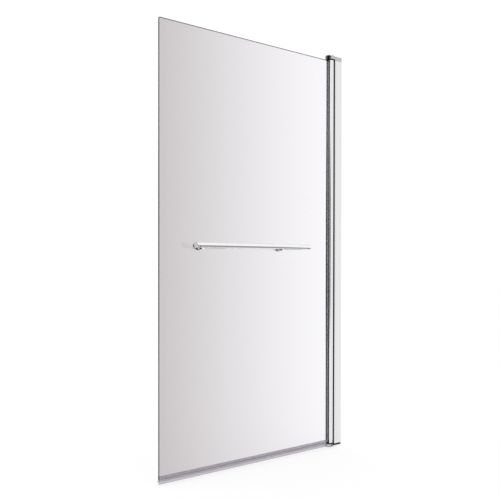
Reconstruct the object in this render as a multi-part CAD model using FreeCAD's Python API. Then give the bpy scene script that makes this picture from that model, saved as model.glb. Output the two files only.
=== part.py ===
import FreeCAD
import Part
import math
import os

# A hinged glass bath screen with a towel rail, taken apart into its separate pieces.
#
# Axes: X runs from the screen towards the wall and is 0 on the wall face. Y runs from the dry
# side towards the bath and is 0 on the middle plane of the glass. Z is up and is 0 at the middle
# of the wall channel. "Dry" means the -Y side, "bath" the +Y side. Every size is in millimetres.

# ---------------------------------------------------------------- glass
OVERALL_WIDTH = 800.0        # wall face to the free edge, with the jamb pushed right in
GLASS_HEIGHT = 1400.0
GLASS_THICKNESS = 6.0
GLASS_CORNER_RADIUS = 3.0
RIM_TO_GLASS = 16.4          # bath rim to the lower edge of the glass

# ---------------------------------------------------------------- wall channel
PROFILE_MARGIN = 0.5         # how far the profile's flank stands outside the pivot post
CHANNEL_WEB = 2.5
CHANNEL_WALL = 1.9
CHANNEL_END_GAP = 0.4        # channel end to the cap above or below it
WALL_HOLE_RADIUS = 2.5
WALL_HOLE_COUNT = 4
WALL_HOLE_SPACING = 400.0

# ---------------------------------------------------------------- hinge jamb
ADJUST_TRAVEL = 15.0         # how far the jamb can be drawn out of the channel
SLOT_TO_MOUTH = 6.0          # last place of a clamp screw to the channel's mouth
JAMB_PLAY = 0.4              # jamb flank to channel wall
JAMB_STOP_GAP = 0.3          # jamb shoulder to channel mouth when pushed right in
JAMB_HEAD_LENGTH = 3.0
JAMB_WALL = 2.0
NECK_END_GAP = 4.0           # room for the wall screws' heads behind the jamb
PIVOT_TO_HEAD = 12.1         # pivot axis in front of the jamb's head
CUP_PLAY = 0.5               # pivot post to the cup that it turns in
PORT_WALL = 1.7
PORT_INSET = 5.0             # screw port's axis inside the neck's flank
PORT_BACK = 7.9              # screw port's axis behind the cup
STRIP_OUT = 1.5              # how far the sealing strips stand in front of the head
STRIP_EDGE = 0.3             # strip inside the head's flank, and outside the cup's edge
STRIP_STEM_WIDTH = 1.8
STRIP_STEM_DEPTH = 1.6
STRIP_GAP = 0.3              # sealing strip to the pivot post

# ---------------------------------------------------------------- pivot post and bearings
POST_RADIUS = 15.0
POST_NOSE = 10.0             # pivot axis to the flat face that the glass goes in at
POST_WALL = 2.0
POST_CORE_WALL = 2.2         # wall round the bush bore
CHAMBER_START_DEG = 15.0
CHAMBER_SPAN_DEG = 95.0
PIN_RADIUS = 2.5
PIN_REACH = 14.0             # how deep a pin goes into the post
PIN_HEAD_RADIUS = 5.0
PIN_HEAD_HEIGHT = 2.0
PIN_PLAY = 0.05              # radial running clearance of pin in bush
BUSH_WALL = 1.0
PRESS_FIT = 0.02             # pin or bush in the hole that holds it
BUSH_LENGTH = 15.0
THRUST_WASHER_RADIUS = 14.5
THRUST_WASHER_THICKNESS = 4.6
THRUST_PLAY = 0.2            # thrust washer to the cap that it runs on
SLOT_WEB = 1.2               # metal between the glazing slot and the bush bore
GLASS_END_GAP = 0.3          # glass to the bottom of the glazing slot

# ---------------------------------------------------------------- glass in the post
BOND_THICKNESS = 1.4         # silicone on each face of the glass, in the slot
NOSE_STRIP_FROM_GLASS = 2.0
NOSE_STRIP_WIDTH = 4.0
NOSE_STRIP_OUT = 1.7         # how far the strips stand in front of the post's nose
NOSE_STRIP_BEVEL = 0.5

# ---------------------------------------------------------------- caps
CAP_NOSE_MARGIN = 1.0        # how far the caps' noses stand outside the pivot post
CAP_WALL_GAP = 0.5           # caps to the wall face
JAMB_ABOVE_GLASS = 1.2       # jamb's top end over the upper edge of the glass
CAP_WALL = 1.8
CAP_REAR_HEIGHT = 14.8
CAP_NOSE_HEIGHT = 18.2
CAP_NOSE_ROUND = 3.0
CAP_EDGE_ROUND = 0.8
BRACKET_ARM = 3.0            # thickness of the bracket over the post
BRACKET_FIT = 0.1            # top bracket to the inside of the top cap
PLATE_LIFT = 5.4             # bath rim to the underside of the bottom cap's rear plate
PLATE_THICKNESS = 5.0
CAP_CUP_GAP = 0.3            # bottom cap to the jamb round it
BOTTOM_PIN_FLOOR = 3.0       # metal under the bottom pin

# ---------------------------------------------------------------- small screws
SCREW_RADIUS = 2.0
SCREW_FIT = 0.05             # screw in the hole that it bites in
SCREW_CLEARANCE = 0.15       # screw in a plain hole
SCREW_HEAD_RADIUS = 4.0
SCREW_HEAD_HEIGHT = 2.4
SCREW_CROWN_RADIUS = 3.2     # flat on top of a pan head
SCREW_CROWN_HEIGHT = 1.2
SOCKET_FLATS = 2.5
SOCKET_DEPTH = 1.3
CAP_SCREW_REACH = 12.0       # into the jamb's screw ports
CLAMP_TO_WALL = 0.5          # clamp screw to the jamb's back wall
CLAMP_COUNT = 3
CLAMP_SPACING = 500.0
CLAMP_REACH = 8.0            # inside the jamb's flank
CLAMP_HEAD_GAP = 0.1         # clamp screw's head to the channel
COVER_FIT = 0.3              # cover round the head inside it
COVER_WALL = 1.2
COVER_ROUND = 0.6
COVER_HEAD_GAP = 0.3         # cover over the head inside it
COVER_RIM_GAP = 0.15         # cover's rim to the channel

# ---------------------------------------------------------------- bottom seal
SEAL_LEG_THICKNESS = 1.2
SEAL_LEG_HEIGHT = 10.4
SEAL_BASE_THICKNESS = 1.5
SEAL_LIP_THICKNESS = 1.6
SEAL_LIP_CLEARANCE = 2.0     # bath rim to the lip's lower edge
SEAL_FIN_REACH = 6.0         # drip fin, out towards the bath
SEAL_FIN_DROP = 8.0
SEAL_FIN_THICKNESS = 1.1
SEAL_EDGE_INSET = 0.5        # from the free edge of the glass
SEAL_CAP_GAP = 1.5           # seal's end to the bottom cap's nose

# ---------------------------------------------------------------- towel rail
RAIL_RADIUS = 9.5
RAIL_WALL = 1.5
RAIL_LENGTH = 500.0          # over the end caps
RAIL_FROM_EDGE = 114.0       # free edge of the glass to the rail's end
RAIL_ABOVE_GLASS_FOOT = 715.0
RAIL_STANDOFF = 31.0         # face of the glass to the rail's axis
RAIL_DROP = 3.0              # the mounts' axes below the rail's axis
MOUNT_FROM_RAIL_END = 30.0
MOUNT_SPACING = 344.0
END_CAP_THICKNESS = 3.0
END_CAP_ROUND = 2.0
END_PLUG_LENGTH = 18.0
END_PLUG_FIT = 0.05
GRUB_RADIUS = 3.0
GRUB_FROM_END = 13.0
GRUB_RECESS = 0.3
GRUB_LENGTH = 5.5
GRUB_TIP_GAP = 0.3
GRUB_ANGLE_DEG = 36.0        # below level, on the dry side
GRUB_SOCKET_FLATS = 3.0
GRUB_SOCKET_DEPTH = 2.0

# ---------------------------------------------------------------- rail mounts
WASHER_RADIUS = 12.0
WASHER_THICKNESS = 1.0
STUD_RADIUS = 3.0
STUD_CLEARANCE = 0.2
STUD_FIT = 0.02
STUD_IN_POST = 8.0
STUD_IN_NUT = 5.5
STUD_END_GAP = 0.5
HOLE_BUSH_WALL = 2.7
HOLE_PRESS_FIT = 0.05
ROSETTE_RADIUS = 13.0
ROSETTE_THICKNESS = 5.0
ROSETTE_ROUND = 3.0
MOUNT_WAIST_RADIUS = 7.5
SADDLE_LIP = 3.5             # the collar's lip under the tube
MOUNT_COLLAR_LENGTH = 12.0
MOUNT_CONE_LENGTH = 2.5
NUT_RADIUS = 10.0
NUT_THICKNESS = 8.0
NUT_ROUND = 3.0
SADDLE_SCREW_FROM_AXIS = 4.0  # behind the rail's axis
SADDLE_SCREW_LENGTH = 9.0
SADDLE_HEAD_RADIUS = 3.6
SADDLE_HEAD_HEIGHT = 1.7
SADDLE_HEAD_SINK = 0.4

# ---------------------------------------------------------------- places that follow from the sizes
# Across the glass (Y)
GLASS_FACE = GLASS_THICKNESS / 2
PROFILE_HALF = POST_RADIUS + PROFILE_MARGIN
CHANNEL_INSIDE = PROFILE_HALF - CHANNEL_WALL
NECK_HALF = CHANNEL_INSIDE - JAMB_PLAY
CAVITY_HALF = NECK_HALF - JAMB_WALL
SLOT_HALF = GLASS_FACE + BOND_THICKNESS
RAIL_Y = -(GLASS_FACE + RAIL_STANDOFF)
CAP_NOSE_RADIUS = POST_RADIUS + CAP_NOSE_MARGIN
COLLAR_RADIUS = RAIL_RADIUS + SADDLE_LIP - RAIL_DROP

# Along the glass (X)
NECK_END_X = -(CHANNEL_WEB + NECK_END_GAP)
CLAMP_X = NECK_END_X - JAMB_WALL - SCREW_RADIUS - CLAMP_TO_WALL
MOUTH_X = CLAMP_X - ADJUST_TRAVEL - SLOT_TO_MOUTH
SHOULDER_X = MOUTH_X - JAMB_STOP_GAP
HEAD_X = SHOULDER_X - JAMB_HEAD_LENGTH
PIVOT_X = HEAD_X - PIVOT_TO_HEAD
NOSE_X = PIVOT_X - POST_NOSE
CUP_RADIUS = POST_RADIUS + CUP_PLAY
CUP_X = PIVOT_X + CUP_RADIUS
PORT_X = CUP_X + PORT_BACK
BUSH_BORE_RADIUS = PIN_RADIUS + PIN_PLAY + BUSH_WALL + PRESS_FIT
CORE_RADIUS = BUSH_BORE_RADIUS + POST_CORE_WALL
SLOT_X = PIVOT_X - (BUSH_BORE_RADIUS + SLOT_WEB)
GLASS_END_X = SLOT_X - GLASS_END_GAP
FREE_EDGE_X = -OVERALL_WIDTH
RAIL_START_X = FREE_EDGE_X + RAIL_FROM_EDGE
RAIL_END_X = RAIL_START_X + RAIL_LENGTH
MOUNT_XS = [RAIL_START_X + MOUNT_FROM_RAIL_END + MOUNT_SPACING * i for i in range(2)]

# Up (Z), counted from the bath rim and then moved so that 0 is the middle of the wall channel
JAMB_FOOT = PLATE_LIFT + PLATE_THICKNESS
JAMB_TOP = RIM_TO_GLASS + GLASS_HEIGHT + JAMB_ABOVE_GLASS
RIM_Z = -(JAMB_FOOT + JAMB_TOP) / 2
JAMB_Z = (RIM_Z + JAMB_FOOT, RIM_Z + JAMB_TOP)
CHANNEL_Z = (JAMB_Z[0] + CHANNEL_END_GAP, JAMB_Z[1] - CHANNEL_END_GAP)
GLASS_Z = (RIM_Z + RIM_TO_GLASS, RIM_Z + RIM_TO_GLASS + GLASS_HEIGHT)
TOP_NOSE_FOOT_Z = GLASS_Z[1] + THRUST_WASHER_THICKNESS + THRUST_PLAY
BRACKET_TOP_Z = TOP_NOSE_FOOT_Z + BRACKET_ARM
BOTTOM_NOSE_TOP_Z = GLASS_Z[0] - THRUST_WASHER_THICKNESS - THRUST_PLAY
RAIL_Z = GLASS_Z[0] + RAIL_ABOVE_GLASS_FOOT
MOUNT_Z = RAIL_Z - RAIL_DROP

# Nearer than this, two places are the same
SAME_PLACE = 1e-4

# Directions
ALONG = FreeCAD.Vector(1, 0, 0)
BATHWARD = FreeCAD.Vector(0, 1, 0)
DRYWARD = FreeCAD.Vector(0, -1, 0)
UP = FreeCAD.Vector(0, 0, 1)
DOWN = FreeCAD.Vector(0, 0, -1)


# ---------------------------------------------------------------- building blocks
def vec(x, y, z):
    return FreeCAD.Vector(x, y, z)


def box(xs, ys, zs):
    """A block between two values on each axis."""
    size = [high - low for low, high in (xs, ys, zs)]
    return Part.makeBox(*size, vec(xs[0], ys[0], zs[0]))


def upright(outline, zs):
    """A prism on an (x, y) outline, between two heights."""
    points = [vec(x, y, zs[0]) for x, y in outline + outline[:1]]
    return Part.Face(Part.makePolygon(points)).extrude(UP * (zs[1] - zs[0]))


def lengthwise(outline, xs):
    """A prism on a (y, z) outline, between two places along the glass."""
    points = [vec(xs[0], y, z) for y, z in outline + outline[:1]]
    return Part.Face(Part.makePolygon(points)).extrude(ALONG * (xs[1] - xs[0]))


def rod(radius, length, foot, direction):
    return Part.makeCylinder(radius, length, foot, direction)


def column(radius, zs, x=PIVOT_X, y=0.0):
    """An upright cylinder, on the pivot axis unless told otherwise."""
    return rod(radius, zs[1] - zs[0], vec(x, y, zs[0]), UP)


def tube(outer, inner, length, foot, direction):
    return rod(outer, length, foot, direction).cut(rod(inner, length, foot, direction))


def turned(outline, foot, direction):
    """A turned solid. The outline is (radius, distance) points, with distance along direction."""
    points = [vec(radius, 0, distance) for radius, distance in outline + outline[:1]]
    solid = Part.Face(Part.makePolygon(points)).revolve(vec(0, 0, 0), UP, 360)
    solid.Placement = FreeCAD.Placement(foot, FreeCAD.Rotation(UP, direction))
    return solid


def hexagon(flats, depth, foot, direction):
    """A six-sided prism, for the sockets that a key drives."""
    corner = flats / math.sqrt(3)
    turns = [math.radians(60 * i) for i in range(7)]
    points = [vec(corner * math.cos(a), corner * math.sin(a), 0) for a in turns]
    solid = Part.Face(Part.makePolygon(points)).extrude(UP * depth)
    solid.Placement = FreeCAD.Placement(foot, FreeCAD.Rotation(UP, direction))
    return solid


def rounded(solid, radius, wanted):
    """The solid with those edges rounded for which wanted(centre of the edge's box) is true."""
    edges = [edge for edge in solid.Edges if wanted(edge.BoundBox.Center, edge)]
    return solid.makeFillet(radius, edges)


def near(a, b):
    return abs(a - b) < SAME_PLACE


def pan_screw(foot, direction, reach):
    """A pan-head screw with a socket. Its head bears at foot and its shank goes along direction."""
    head = turned(
        [
            (0, 0),
            (SCREW_HEAD_RADIUS, 0),
            (SCREW_HEAD_RADIUS, -SCREW_CROWN_HEIGHT),
            (SCREW_CROWN_RADIUS, -SCREW_HEAD_HEIGHT),
            (0, -SCREW_HEAD_HEIGHT),
        ],
        foot,
        direction,
    )
    shank = rod(SCREW_RADIUS, reach, foot, direction)
    socket = hexagon(SOCKET_FLATS, SOCKET_DEPTH, foot - direction * SCREW_HEAD_HEIGHT, direction)
    return head.fuse(shank).cut(socket).removeSplitter()


# ---------------------------------------------------------------- wall side
def spaced_heights(count, spacing):
    """Heights of a row of fixings, even about the middle of the channel."""
    return [spacing * (i - (count - 1) / 2) for i in range(count)]


def wall_channel():
    """The U-shaped extrusion on the wall, open towards the glass."""
    body = box((MOUTH_X, 0), (-PROFILE_HALF, PROFILE_HALF), CHANNEL_Z)
    inside = box((MOUTH_X, -CHANNEL_WEB), (-CHANNEL_INSIDE, CHANNEL_INSIDE), CHANNEL_Z)
    body = body.cut(inside)
    for z in spaced_heights(WALL_HOLE_COUNT, WALL_HOLE_SPACING):
        body = body.cut(rod(WALL_HOLE_RADIUS, CHANNEL_WEB, vec(-CHANNEL_WEB, 0, z), ALONG))
    slot_radius = SCREW_RADIUS + SCREW_CLEARANCE
    wall = (CHANNEL_INSIDE, PROFILE_HALF)
    for z in spaced_heights(CLAMP_COUNT, CLAMP_SPACING):
        ends = (CLAMP_X - ADJUST_TRAVEL, CLAMP_X)
        body = body.cut(box(ends, wall, (z - slot_radius, z + slot_radius)))
        for x in ends:
            body = body.cut(rod(slot_radius, CHANNEL_WALL, vec(x, wall[0], z), BATHWARD))
    return body


def port_places():
    return [(PORT_X, side * (NECK_HALF - PORT_INSET)) for side in (-1, 1)]


def hinge_jamb():
    """The extrusion that slides in the channel and carries the cup for the pivot post."""
    head = box((HEAD_X, SHOULDER_X), (-PROFILE_HALF, PROFILE_HALF), JAMB_Z)
    neck = box((SHOULDER_X, NECK_END_X), (-NECK_HALF, NECK_HALF), JAMB_Z)
    cavity_xs = (CUP_X + JAMB_WALL, NECK_END_X - JAMB_WALL)
    cavity = box(cavity_xs, (-CAVITY_HALF, CAVITY_HALF), JAMB_Z)
    body = head.fuse(neck).cut(cavity)
    bore_radius = SCREW_RADIUS + SCREW_FIT
    for x, y in port_places():
        port = column(bore_radius + PORT_WALL, JAMB_Z, x, y)
        inside_neck = box((CUP_X, NECK_END_X), (-NECK_HALF, NECK_HALF), JAMB_Z)
        body = body.fuse(port.common(inside_neck))
    for x, y in port_places():
        body = body.cut(column(bore_radius, JAMB_Z, x, y))
    body = body.cut(column(CUP_RADIUS, JAMB_Z))
    groove_xs = (HEAD_X, HEAD_X + STRIP_STEM_DEPTH)
    near_edge, far_edge = stem_edges(strip_edges())
    for groove_ys in ((near_edge, far_edge), (-far_edge, -near_edge)):
        body = body.cut(box(groove_xs, groove_ys, JAMB_Z))
    for z in spaced_heights(CLAMP_COUNT, CLAMP_SPACING):
        foot = vec(CLAMP_X, CAVITY_HALF, z)
        body = body.cut(rod(bore_radius, JAMB_WALL, foot, BATHWARD))
    return body.removeSplitter()


def side_of_circle(radius, distance):
    """Half the width of a circle at that distance from its middle."""
    return math.sqrt(radius**2 - distance**2)


def strip_edges():
    """Where a sealing strip lies on the head's face: from the cup's edge to the flank."""
    return side_of_circle(CUP_RADIUS, PIVOT_TO_HEAD) + STRIP_EDGE, PROFILE_HALF - STRIP_EDGE


def stem_edges(edges):
    """Where a strip's stem lies: in the middle between the strip's edges."""
    middle = sum(edges) / 2
    return middle - STRIP_STEM_WIDTH / 2, middle + STRIP_STEM_WIDTH / 2


def hinge_seal_strips():
    """The two sealing strips that close the gap between the head's face and the round post."""
    near_edge, far_edge = strip_edges()
    near_stem, far_stem = stem_edges(strip_edges())
    front_x = HEAD_X - STRIP_OUT
    stem_x = HEAD_X + STRIP_STEM_DEPTH
    near_front = side_of_circle(POST_RADIUS + STRIP_GAP, PIVOT_TO_HEAD - STRIP_OUT)
    outline = [
        (stem_x, near_stem),
        (stem_x, far_stem),
        (HEAD_X, far_stem),
        (HEAD_X, far_edge),
        (front_x, far_edge),
        (front_x, near_front),
        (HEAD_X, near_edge),
        (HEAD_X, near_stem),
    ]
    return [upright([(x, side * y) for x, y in outline], JAMB_Z) for side in (-1, 1)]


def clamp_screws():
    """The screws on the bath side that hold the jamb where it was set in the channel."""
    head_y = PROFILE_HALF + CLAMP_HEAD_GAP
    reach = head_y - (CAVITY_HALF - CLAMP_REACH)
    heights = spaced_heights(CLAMP_COUNT, CLAMP_SPACING)
    return [pan_screw(vec(CLAMP_X, head_y, z), DRYWARD, reach) for z in heights]


def clamp_screw_covers():
    """Press-on covers over the clamp screws' heads."""
    rim_y = PROFILE_HALF + COVER_RIM_GAP
    inner_depth = CLAMP_HEAD_GAP + SCREW_HEAD_HEIGHT + COVER_HEAD_GAP - COVER_RIM_GAP
    inner_radius = SCREW_HEAD_RADIUS + COVER_FIT
    depth = inner_depth + COVER_WALL
    covers = []
    for z in spaced_heights(CLAMP_COUNT, CLAMP_SPACING):
        foot = vec(CLAMP_X, rim_y, z)
        shell = rounded(
            rod(inner_radius + COVER_WALL, depth, foot, BATHWARD),
            COVER_ROUND,
            lambda centre, edge: near(centre.y, rim_y + depth),
        )
        covers.append(shell.cut(rod(inner_radius, inner_depth, foot, BATHWARD)))
    return covers


# ---------------------------------------------------------------- caps, pins and bearings
def cap_footprint(nose_radius, half, wall_x, nose_zs, rear_zs):
    """A round nose on the pivot axis with a straight tail back to wall_x."""
    tail = box((PIVOT_X, wall_x), (-half, half), rear_zs)
    return column(nose_radius, nose_zs).fuse(tail)


def top_cap():
    """The cover over the top bracket: a round nose above the post and a deeper tail over the jamb."""
    foot = JAMB_Z[1]
    nose_zs = (TOP_NOSE_FOOT_Z, foot + CAP_NOSE_HEIGHT)
    tail_top = foot + CAP_REAR_HEIGHT
    nose = column(CAP_NOSE_RADIUS, nose_zs)
    nose = rounded(nose, CAP_NOSE_ROUND, lambda centre, edge: near(centre.z, nose_zs[1]))
    tail = box((PIVOT_X, -CAP_WALL_GAP), (-PROFILE_HALF, PROFILE_HALF), (foot, tail_top))
    tail = rounded(
        tail,
        CAP_EDGE_ROUND,
        lambda centre, edge: near(centre.z, tail_top) and centre.x > PIVOT_X + CAP_EDGE_ROUND,
    )
    inner_half = PROFILE_HALF - CAP_WALL
    inner_x = -CAP_WALL_GAP - CAP_WALL
    cavity = cap_footprint(
        CAP_NOSE_RADIUS - CAP_WALL,
        inner_half,
        inner_x,
        (TOP_NOSE_FOOT_Z, nose_zs[1] - CAP_WALL),
        (TOP_NOSE_FOOT_Z, tail_top - CAP_WALL),
    )
    low_zs = (foot, TOP_NOSE_FOOT_Z)
    low_cavity = box((HEAD_X + CAP_WALL, inner_x), (-inner_half, inner_half), low_zs)
    return nose.fuse(tail).cut(cavity).cut(low_cavity).cut(room_over_post(low_zs)).removeSplitter()


def room_over_post(zs):
    """What is kept free over the jamb's end for the post and its washer."""
    front = box((PIVOT_X - CAP_NOSE_RADIUS, HEAD_X), (-CAP_NOSE_RADIUS, CAP_NOSE_RADIUS), zs)
    return column(CUP_RADIUS, zs).fuse(front)


def top_pivot_bracket():
    """The stepped plate that is screwed to the jamb's top end and holds the top pin over the post."""
    inset = CAP_WALL + BRACKET_FIT
    half = PROFILE_HALF - inset
    wall_x = -CAP_WALL_GAP - inset
    arm_zs = (TOP_NOSE_FOOT_Z, BRACKET_TOP_Z)
    low_zs = (JAMB_Z[1], TOP_NOSE_FOOT_Z)
    arm = cap_footprint(CAP_NOSE_RADIUS - inset, half, wall_x, arm_zs, arm_zs)
    block = box((HEAD_X + inset, wall_x), (-half, half), low_zs).cut(room_over_post(low_zs))
    body = arm.fuse(block).cut(column(PIN_RADIUS + PRESS_FIT, arm_zs))
    for x, y in port_places():
        body = body.cut(column(SCREW_RADIUS + SCREW_CLEARANCE, (JAMB_Z[1], BRACKET_TOP_Z), x, y))
    return body.removeSplitter()


def top_pivot_pin():
    """The headed pin that drops through the bracket into the post."""
    shank = column(PIN_RADIUS, (GLASS_Z[1] - PIN_REACH, BRACKET_TOP_Z))
    head = column(PIN_HEAD_RADIUS, (BRACKET_TOP_Z, BRACKET_TOP_Z + PIN_HEAD_HEIGHT))
    return shank.fuse(head).removeSplitter()


def top_bracket_screws():
    reach = BRACKET_TOP_Z - JAMB_Z[1] + CAP_SCREW_REACH
    return [pan_screw(vec(x, y, BRACKET_TOP_Z), DOWN, reach) for x, y in port_places()]


def countersunk_screw(foot, head_radius, head_height, length):
    """A countersunk screw with a socket, standing on its head. The flat of the head is at foot."""
    outline = [(0, 0), (head_radius, 0), (SCREW_RADIUS, head_height), (SCREW_RADIUS, length), (0, length)]
    return turned(outline, foot, UP).cut(hexagon(SOCKET_FLATS, SOCKET_DEPTH, foot, UP))


def countersink(foot, head_radius, head_height, clearance):
    """The cone that a countersunk head sits in."""
    return Part.makeCone(head_radius + clearance, SCREW_RADIUS + clearance, head_height, foot, UP)


def bottom_cap():
    """The foot of the hinge: a round nose under the post and a plate under the jamb."""
    plate_zs = (RIM_Z + PLATE_LIFT, JAMB_Z[0])
    nose = column(CAP_NOSE_RADIUS, (RIM_Z, BOTTOM_NOSE_TOP_Z))
    nose = rounded(nose, CAP_NOSE_ROUND, lambda centre, edge: near(centre.z, RIM_Z))
    room_x = HEAD_X - STRIP_OUT - CAP_CUP_GAP
    jamb_room = box((room_x, 0), (-PROFILE_HALF, PROFILE_HALF), (JAMB_Z[0], BOTTOM_NOSE_TOP_Z))
    nose = nose.cut(jamb_room)
    core = column(CUP_RADIUS - CAP_CUP_GAP, (JAMB_Z[0], BOTTOM_NOSE_TOP_Z))
    plate = box((PIVOT_X, -CAP_WALL_GAP), (-PROFILE_HALF, PROFILE_HALF), plate_zs)
    body = nose.fuse(core).fuse(plate)
    body = body.cut(column(PIN_RADIUS + PRESS_FIT, (RIM_Z + BOTTOM_PIN_FLOOR, BOTTOM_NOSE_TOP_Z)))
    for x, y in port_places():
        body = body.cut(column(SCREW_RADIUS + SCREW_CLEARANCE, plate_zs, x, y))
        foot = vec(x, y, plate_zs[0])
        body = body.cut(countersink(foot, SCREW_HEAD_RADIUS, SCREW_HEAD_HEIGHT, SCREW_CLEARANCE))
    return body.removeSplitter()


def bottom_pivot_pin():
    return column(PIN_RADIUS, (RIM_Z + BOTTOM_PIN_FLOOR, GLASS_Z[0] + PIN_REACH))


def bottom_cap_screws():
    length = PLATE_THICKNESS + CAP_SCREW_REACH
    feet = [vec(x, y, RIM_Z + PLATE_LIFT) for x, y in port_places()]
    return [countersunk_screw(foot, SCREW_HEAD_RADIUS, SCREW_HEAD_HEIGHT, length) for foot in feet]


def pivot_bush(zs):
    """A plain bush pressed into one end of the post."""
    bore = PIN_RADIUS + PIN_PLAY
    return tube(bore + BUSH_WALL, bore, zs[1] - zs[0], vec(PIVOT_X, 0, zs[0]), UP)


def thrust_washer(zs):
    bore = PIN_RADIUS + PIN_PLAY
    return tube(THRUST_WASHER_RADIUS, bore, zs[1] - zs[0], vec(PIVOT_X, 0, zs[0]), UP)


# ---------------------------------------------------------------- swinging panel
def pivot_post():
    """The round extrusion that turns with the glass. Its flat nose has the glazing slot."""
    body = column(POST_RADIUS, GLASS_Z)
    body = body.cut(column(BUSH_BORE_RADIUS, GLASS_Z))
    before_nose = (PIVOT_X - CAP_NOSE_RADIUS, NOSE_X)
    body = body.cut(box(before_nose, (-CAP_NOSE_RADIUS, CAP_NOSE_RADIUS), GLASS_Z))
    body = body.cut(box((NOSE_X, SLOT_X), (-SLOT_HALF, SLOT_HALF), GLASS_Z))
    groove_xs = (NOSE_X, NOSE_X + STRIP_STEM_DEPTH)
    near_edge, far_edge = stem_edges(nose_strip_edges())
    for groove_ys in ((near_edge, far_edge), (-far_edge, -near_edge)):
        body = body.cut(box(groove_xs, groove_ys, GLASS_Z))
    height = GLASS_Z[1] - GLASS_Z[0]
    foot = vec(PIVOT_X, 0, GLASS_Z[0])
    for start in (CHAMBER_START_DEG, -CHAMBER_START_DEG - CHAMBER_SPAN_DEG):
        wedge = Part.makeCylinder(POST_RADIUS - POST_WALL, height, vec(0, 0, 0), UP, CHAMBER_SPAN_DEG)
        wedge.Placement = FreeCAD.Placement(foot, FreeCAD.Rotation(UP, start))
        body = body.cut(wedge.cut(column(CORE_RADIUS, GLASS_Z)))
    return body.removeSplitter()


def glass_panel():
    """The pane, with rounded corners at the free edge and the holes for the rail's studs."""
    pane = box((FREE_EDGE_X, GLASS_END_X), (-GLASS_FACE, GLASS_FACE), GLASS_Z)
    pane = rounded(
        pane,
        GLASS_CORNER_RADIUS,
        lambda centre, edge: near(centre.x, FREE_EDGE_X) and near(edge.BoundBox.YLength, GLASS_THICKNESS),
    )
    for x in MOUNT_XS:
        foot = vec(x, -GLASS_FACE, MOUNT_Z)
        pane = pane.cut(rod(glass_hole_radius(), GLASS_THICKNESS, foot, BATHWARD))
    return pane


def nose_strip_edges():
    near_edge = GLASS_FACE + NOSE_STRIP_FROM_GLASS
    return near_edge, near_edge + NOSE_STRIP_WIDTH


def nose_strips():
    """The two strips on the post's nose, one on each side of the glass, pressed into grooves."""
    near_edge, far_edge = nose_strip_edges()
    near_stem, far_stem = stem_edges(nose_strip_edges())
    stem_x = NOSE_X + STRIP_STEM_DEPTH
    tip_x = NOSE_X - NOSE_STRIP_OUT
    outline = [
        (stem_x, near_stem),
        (stem_x, far_stem),
        (NOSE_X, far_stem),
        (NOSE_X, far_edge),
        (tip_x + NOSE_STRIP_BEVEL, far_edge),
        (tip_x, far_edge - NOSE_STRIP_BEVEL),
        (tip_x, near_edge + NOSE_STRIP_BEVEL),
        (tip_x + NOSE_STRIP_BEVEL, near_edge),
        (NOSE_X, near_edge),
        (NOSE_X, near_stem),
    ]
    return [upright([(x, side * y) for x, y in outline], GLASS_Z) for side in (-1, 1)]


def glass_bond():
    """The silicone that holds the glass in the slot, one layer on each face."""
    xs = (NOSE_X, GLASS_END_X)
    dry, bath = (-SLOT_HALF, -GLASS_FACE), (GLASS_FACE, SLOT_HALF)
    return [box(xs, ys, GLASS_Z) for ys in (dry, bath)]


def bottom_seal():
    """The clear seal pushed onto the glass: two legs, a lip down to the rim and a drip fin."""
    foot = GLASS_Z[0]
    leg = GLASS_FACE + SEAL_LEG_THICKNESS
    base = foot - SEAL_BASE_THICKNESS
    lip = SEAL_LIP_THICKNESS / 2
    tip = RIM_Z + SEAL_LIP_CLEARANCE
    outline = [
        (-leg, foot + SEAL_LEG_HEIGHT),
        (-leg, base),
        (-lip, base),
        (-lip, tip),
        (lip, tip),
        (lip, base),
        (leg - SEAL_FIN_THICKNESS, base),
        (leg + SEAL_FIN_REACH - SEAL_FIN_THICKNESS, base - SEAL_FIN_DROP),
        (leg + SEAL_FIN_REACH, base - SEAL_FIN_DROP),
        (leg, base),
        (leg, foot + SEAL_LEG_HEIGHT),
        (GLASS_FACE, foot + SEAL_LEG_HEIGHT),
        (GLASS_FACE, foot),
        (-GLASS_FACE, foot),
        (-GLASS_FACE, foot + SEAL_LEG_HEIGHT),
    ]
    end_x = PIVOT_X - CAP_NOSE_RADIUS - SEAL_CAP_GAP
    return lengthwise(outline, (FREE_EDGE_X + SEAL_EDGE_INSET, end_x))


# ---------------------------------------------------------------- towel rail
def grub_places():
    """Where each grub screw points in from: (x, outward direction across the tube)."""
    angle = math.radians(GRUB_ANGLE_DEG)
    outward = vec(0, -math.cos(angle), -math.sin(angle))
    return [(RAIL_START_X + GRUB_FROM_END, outward), (RAIL_END_X - GRUB_FROM_END, outward)]


def rail_tube():
    """The tube, with holes for the end caps' grub screws and the saddle screws."""
    length = RAIL_LENGTH - 2 * END_CAP_THICKNESS
    foot = vec(RAIL_START_X + END_CAP_THICKNESS, RAIL_Y, RAIL_Z)
    body = tube(RAIL_RADIUS, RAIL_RADIUS - RAIL_WALL, length, foot, ALONG)
    for x, outward in grub_places():
        body = body.cut(rod(GRUB_RADIUS + SCREW_FIT, RAIL_RADIUS, vec(x, RAIL_Y, RAIL_Z), outward))
    for x in MOUNT_XS:
        foot = vec(x, RAIL_Y + SADDLE_SCREW_FROM_AXIS, RAIL_Z)
        body = body.cut(rod(SCREW_RADIUS + SCREW_FIT, RAIL_RADIUS, foot, DOWN))
    return body


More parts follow.
